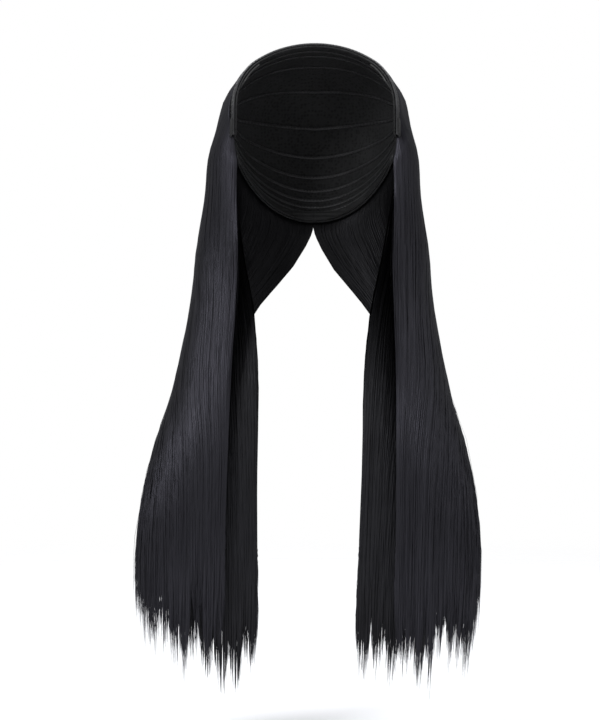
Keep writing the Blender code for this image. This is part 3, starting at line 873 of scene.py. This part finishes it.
# %% Spread strands over a layer
TAPER = 0.07  # the last share of a strand over which it narrows
TAPER_STATIONS = (0.93, 0.965)
POINT_WIDTH = 0.15  # the width at its point, as a share
WIDTH_RANGE = (0.6, 1.4)  # from the finest strand of a piece to the widest, as shares
EDGE_HAIRS = 0.03  # the share of the strands that lie along each edge of a layer
EDGE_STRIP = 0.012  # the share of the layer's width that they lie in
LOCK_PULL = 0.12
WISPS_IN_LOCK = 5
WISP_PULL = 0.40
STEADY_SHARE = 0.125  # the first share of the path, where strands waver less
ROOT_WAVER = 0.2  # the share of their waver that they have at the root
DEPTH_WAVER = 0.07
LOWEST_DEPTH = -0.05
ROOT_DEPTH = 0.35
HIDDEN_ROOT_DEPTH = 0.5
RISE_SHARE = 0.05  # the share of the path in which a strand comes up from its root


def add_strands(name, node, count, seed, depths, width, stretch, begin=0.0, waver=0.006,
                reach=(0.0, 1.0), tail=0.06, stray=0.0, inward=False):
    """A piece of hair: strands spread over a layer, between two depth shares."""
    sheet = SHEETS[node]
    locks = len(LOCKS[node])
    rng = np.random.default_rng(seed)
    places = rng.uniform(*reach, count)
    edge = rng.uniform(0, 1, count)
    places = np.where(edge < EDGE_HAIRS, rng.uniform(0.0, EDGE_STRIP, count), places)
    places = np.where(edge > 1 - EDGE_HAIRS, rng.uniform(1 - EDGE_STRIP, 1.0, count), places)
    ends = sheet.row_of_drop(places, strand_ends(rng, places, node, tail))
    t = begin + stretch[None, :] * (ends - begin)[:, None]
    inside = np.clip(places, 0, 1)[:, None]
    splay = (places[:, None] - inside) * (stretch[None, :] if begin else 1.0)
    steady = np.clip(t / STEADY_SHARE, ROOT_WAVER, 1)
    s = inside + splay + waver * slow_wave(rng, count, stretch, 3) * steady
    s = gathered(s, places, t, locks, LOCK_PULL)
    s = gathered(s, places, t, locks * WISPS_IN_LOCK, WISP_PULL)
    depth = rng.uniform(*depths, count)[:, None]
    depth = depth + DEPTH_WAVER * slow_wave(rng, count, stretch, 2)
    depth += stray * rng.uniform(-0.3, 1, (count, 1)) * t**3
    rise = np.clip((t - begin) / RISE_SHARE, 0, 1)
    root_depth = HIDDEN_ROOT_DEPTH if inward or begin else ROOT_DEPTH
    depth = np.maximum(depth, LOWEST_DEPTH) * rise + root_depth * (1 - rise)
    centres = sheet.place(s, t, depth)
    outward = sheet.read(sheet.out, s, t) * (-1 if inward else 1)
    wide = width * rng.uniform(*WIDTH_RANGE, count)[:, None]
    taper = np.clip((1 - stretch) / TAPER, POINT_WIDTH, 1)[None, :]
    mesh = strand_mesh(name, centres, outward, wide * taper, striped_tone(rng, places))
    piece = link_piece(name, mesh, LAYER_MATERIAL[layer_of(node)])
    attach(piece, "root")
    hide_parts(node)
    print(f"{name}: {count} strands, {2 * len(mesh.polygons)} triangles")


def full_stretch(node, count):
    """Stations from root to end: close together in the bends of the layer and at the taper."""
    bends = SHEETS[node].stations(count - len(TAPER_STATIONS))
    return np.sort(np.append(bends, TAPER_STATIONS))


# %% Lay the strands of the top layer
TOP_STATIONS = 27
for index, side_name in enumerate(SIDES):
    node = f"hair_top_{side_name}"
    stretch = full_stretch(node, TOP_STATIONS)
    add_strands(
        f"{node}_upper", node, count=1850, seed=11 + index, depths=(0.72, 1.0), width=0.00085,
        stretch=stretch, reach=(0.0, 1.008),
    )
    add_strands(
        f"{node}_lower", node, count=900, seed=21 + index, depths=(0.0, 0.25), width=0.0012,
        stretch=stretch, inward=True,
    )

# %% Lay the strands of the under layer
UNDER_STATIONS = 16
for index, side_name in enumerate(SIDES):
    node = f"hair_under_{side_name}"
    stretch = full_stretch(node, UNDER_STATIONS)
    add_strands(
        f"{node}_upper", node, count=850, seed=31 + index, depths=(0.70, 1.0), width=0.0010,
        stretch=stretch, waver=0.008,
    )
    add_strands(
        f"{node}_lower", node, count=650, seed=41 + index, depths=(0.0, 0.25), width=0.0012,
        stretch=stretch, waver=0.008, inward=True,
    )

# %% [markdown]
# ## Fine ends and stray hairs
#
# The ends of the hair are its finest part: against a light ground every hair shows. Long strands
# are too few and too wide for that, so a second lot of short, thin ones starts inside each layer,
# three quarters of the way down, and many of them reach further than the long ones. A few loose
# hairs lie off the surface all the way down, because no real fall of hair has a clean outline.

# %% Lay the fine ends and the stray hairs
END_STRETCH = np.linspace(0, 1, 5)
END_BEGIN = 0.74  # the share of the path where the fine ends start
END_TAIL = {"hair_top": 0.46, "hair_under": 0.34}
STRAY_STATIONS = 18
for index, node in enumerate(SHEETS):
    add_strands(
        f"{node}_ends", node, count=2100, seed=51 + index, depths=(0.05, 0.95), width=0.00036,
        stretch=END_STRETCH, begin=END_BEGIN, waver=0.014, reach=(-0.02, 1.02),
        tail=END_TAIL[layer_of(node)],
    )
    add_strands(
        f"{node}_strays", node, count=60, seed=61 + index, depths=(0.9, 1.05), width=0.00030,
        stretch=full_stretch(node, STRAY_STATIONS), waver=0.012, reach=(-0.004, 1.004),
        tail=0.5, stray=0.5,
    )

# %% [markdown]
# ## The bound band
#
# The band is a strip of elastic, folded over the cap's front edge and bound there with satin, so
# its front shows a rounded roll and its top two rows of stitches. The solid is a plain strip. Here
# a grid becomes the strip: its rows follow the cap's edge, its columns go round a profile, and the
# two sides of the grid are merged where the profile closes. The same helper serves for the roll,
# the tabs and the rows of sewing inside the cap.

# %% A helper that sweeps a closed profile over the cap
SEWN_GAP = 0.0003
BAND_THICKNESS = 0.0018
TAB_LENGTH = 0.015
TAB_THICKNESS = 0.0028
PROFILE_POINTS = 14
BEFORE_EDGE = 0.06  # how far in front of the cap's edge a profile may reach, as a share of a column


def distances_to_shares(across, distances):
    """The shares down a cap column that lie at distances from the front edge, also just before it."""
    shares = np.linspace(-BEFORE_EDGE, 1, SAMPLES)
    lengths = lengths_along(cap_points(np.full(SAMPLES, across), shares))
    return np.interp(np.add(distances, np.interp(0, shares, lengths)), lengths, shares)


def rounded_profile(near, far, low, high, fullness):
    """A closed profile of distance and height: an oval for a fullness of 2, a soft box above."""
    turns = np.linspace(0, 2 * np.pi, PROFILE_POINTS, endpoint=False)
    across = np.sign(np.cos(turns)) * np.abs(np.cos(turns)) ** (2 / fullness)
    up = np.sign(np.sin(turns)) * np.abs(np.sin(turns)) ** (2 / fullness)
    distance = (near + far) / 2 + across * (far - near) / 2
    height = (low + high) / 2 + up * (high - low) / 2
    return np.column_stack((distance, height))


def sweep_on_cap(name, stations, profile, material, starts=0.0, swells=1.0, rises=0.0,
                 replaces=None):
    """A closed profile swept over the cap, at start distances from its front edge."""
    last = len(stations) - 1
    middle = profile.mean(axis=0)
    changes = (np.broadcast_to(values, len(stations)) for values in (starts, swells, rises))
    rings = []
    for across, start, swell, rise in zip(stations, *changes):
        ring = middle + (profile - middle) * swell
        shares = distances_to_shares(across, ring[:, 0] + start)
        rings.append(cap_points(np.full(len(ring), across), shares, ring[:, 1] + rise))
    rings = np.array(rings)
    bm = bmesh.new()
    bmesh.ops.create_grid(bm, x_segments=last, y_segments=len(profile), size=0.5)
    for vert in bm.verts:
        i, j = round((vert.co.x + 0.5) * last), round((vert.co.y + 0.5) * len(profile))
        vert.co = rings[i, j % len(profile)]
    bmesh.ops.remove_doubles(bm, verts=bm.verts, dist=1e-6)
    bmesh.ops.holes_fill(bm, edges=[edge for edge in bm.edges if edge.is_boundary], sides=0)
    bmesh.ops.recalc_face_normals(bm, faces=bm.faces)
    piece = link_piece(name, take_mesh(bm, name), material)
    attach(piece, "root")
    if replaces:
        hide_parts(replaces)


# %% Make the band, its satin roll and its tabs
BAND_STEPS = 150
BAND_START = 0.0006  # from the cap's front edge to the strip, under the roll
ROLL_STEPS = 160
ROLL_RADIUS = 0.0011
ROLL_SEAT = 0.0001
ROLL_SHORT = 0.004  # the share of the front edge that the roll leaves bare at each end
TAB_STEPS = 14
TAB_LAP = 0.002  # how far a tab lies over the strip
TAB_RISE = 0.0012  # how far its free end stands off
TAB_SPARE = 0.0006  # how much wider it is than the strip
BAND_LIFT = CAP_WALL + SEWN_GAP
band_reach = 1 - (TAB_LENGTH + SEWN_GAP) / FRONT_LENGTH
band_line = np.linspace(-band_reach, band_reach, BAND_STEPS + 1)
band_profile = rounded_profile(BAND_START, BAND_WIDTH, BAND_LIFT, BAND_LIFT + BAND_THICKNESS, 5.0)
sweep_on_cap("band_strip", band_line, band_profile, ELASTIC, replaces="front_band")
roll_top = BAND_LIFT + 2 * ROLL_RADIUS
roll_profile = rounded_profile(0.0, 2 * ROLL_RADIUS, BAND_LIFT + ROLL_SEAT, roll_top, 2.0)
roll_line = np.linspace(-1 + ROLL_SHORT, 1 - ROLL_SHORT, ROLL_STEPS + 1)
sweep_on_cap("band_roll", roll_line, roll_profile, BINDING, replaces="front_band")

for side_name, side in SIDES.items():
    start = 1 - (TAB_LENGTH + TAB_LAP) / FRONT_LENGTH
    along = np.linspace(0, 1, TAB_STEPS + 1)
    tab_line = side * (start + along * (1 - start))
    tab_top = BAND_LIFT + TAB_THICKNESS
    tab_profile = rounded_profile(0.0, BAND_WIDTH + TAB_SPARE, BAND_LIFT, tab_top, 3.5)
    sweep_on_cap(
        f"tab_{side_name}", tab_line, tab_profile, ELASTIC,
        swells=np.maximum((1 - np.abs(2 * along - 1) ** 5) ** 0.4, 0.05),
        rises=TAB_RISE * along**2, replaces=f"temple_tab_{side_name}",
    )
print(f"Band of {BAND_STEPS} steps, satin roll of {ROLL_RADIUS * 2000:.1f} mm, two tabs")

# %% [markdown]
# ## Stitches and the sewing inside
#
# A stitch is a grain of thread that lies along its row. Each one is an icosphere of twenty faces,
# stretched by a matrix, so that a hundred of them cost little. Inside the cap, rows of sewing hold
# the hair to the net. The photograph doesn't show them, so they stay plain: low rounded ridges that
# run round the inside of the cap from side to side.

# %% Sew the band
STITCH_LENGTH = 0.0024
STITCH_PITCH = 0.0036
STITCH_THICKNESS = 0.00045
STITCH_LINES = (0.0034, BAND_WIDTH - 0.0014)  # distances from the front edge


def stitch_row(bm, stations, distance, lift):
    """Stitches along the front edge, at a distance from it."""
    half = STITCH_THICKNESS / 2
    line = (*stations, stations[-1] + 1e-3)
    steps = [cap_points([a], distances_to_shares(a, [distance]), lift)[0] for a in line]
    for here, after in zip(steps, steps[1:]):
        along = Vector(after - here).normalized()
        out = Vector(here - HEAD_MIDDLE).normalized()
        side = out.cross(along).normalized()
        columns = (along * STITCH_LENGTH / 2, side * half, out * half, here)
        rows = [[column[axis] for column in columns] for axis in range(3)]
        grain = Matrix((*rows, (0, 0, 0, 1)))
        bmesh.ops.create_icosphere(bm, subdivisions=1, radius=1.0, matrix=grain)


bm = bmesh.new()
stitch_count = int(2 * FRONT_LENGTH * band_reach / STITCH_PITCH)
stitch_line = np.linspace(-band_reach, band_reach, stitch_count)
for distance in STITCH_LINES:
    stitch_row(bm, stitch_line, distance, BAND_LIFT + BAND_THICKNESS)
stitches = link_piece("band_stitches", take_mesh(bm, "band_stitches"), BINDING)
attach(stitches, "root")
print(f"{len(STITCH_LINES)} rows of {stitch_count} stitches")

# %% Make the net shell of the cap
SHELL_COLUMNS = 90
SHELL_ROWS = 44
bm = bmesh.new()
bmesh.ops.create_grid(bm, x_segments=SHELL_COLUMNS, y_segments=SHELL_ROWS, size=0.5)
flat = np.array([vert.co[:2] for vert in bm.verts])
for vert, place in zip(bm.verts, cap_points(2 * flat[:, 0], 0.5 + flat[:, 1])):
    vert.co = place
shell = link_piece("cap_shell", take_mesh(bm, "cap_shell"), NET)
shell_wall = shell.modifiers.new("wall", "SOLIDIFY")
shell_wall.thickness = CAP_WALL
shell_wall.offset = 1.0
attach(shell, "root")
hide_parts("cap")
first_face = shell.data.polygons[0]
outwards = first_face.normal.dot(first_face.center - Vector(HEAD_MIDDLE)) > 0
print(f"Net shell of {len(shell.data.polygons)} faces, turned outwards: {outwards}")

# %% Sew rows inside the cap
ROW_COUNT = 12
ROW_REACH = 0.72  # how far a row goes to each side, as a share of the way to the temple
ROW_STEPS = 60
ROW_SHARES = (0.14, 0.88)  # shares down the cap of the first row and of the last
ROW_RADIUS = 0.0012
ROW_SINK = 0.0001  # how far a ridge reaches into the net


def distance_down(across, down):
    """The distance from the front edge to a share down a cap column."""
    shares = np.linspace(0, 1, SAMPLES)
    return np.interp(down, shares, lengths_along(cap_points(np.full(SAMPLES, across), shares)))


row_line = np.linspace(-ROW_REACH, ROW_REACH, ROW_STEPS + 1)
ridge_profile = rounded_profile(-ROW_RADIUS, ROW_RADIUS, -ROW_RADIUS, ROW_SINK, 2.0)
for index, down in enumerate(np.linspace(*ROW_SHARES, ROW_COUNT)):
    starts = [distance_down(across, down) for across in row_line]
    sweep_on_cap(
        f"sewn_row_{index:02d}", row_line, ridge_profile, BINDING, starts=starts,
    )
print(f"{ROW_COUNT} sewn rows inside the cap")

# %% [markdown]
# ## The solids that stay
#
# The nape band and the combs already have the right shape, so they only get their finish.

# %% Finish the solids that stay
FINISHES = {
    "nape_band": ELASTIC,
    "comb_left": PLASTIC,
    "comb_right": PLASTIC,
}
for node, material in FINISHES.items():
    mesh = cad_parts[node].data
    mesh.materials.clear()
    mesh.materials.append(material)
print("Finished:", ", ".join(FINISHES))
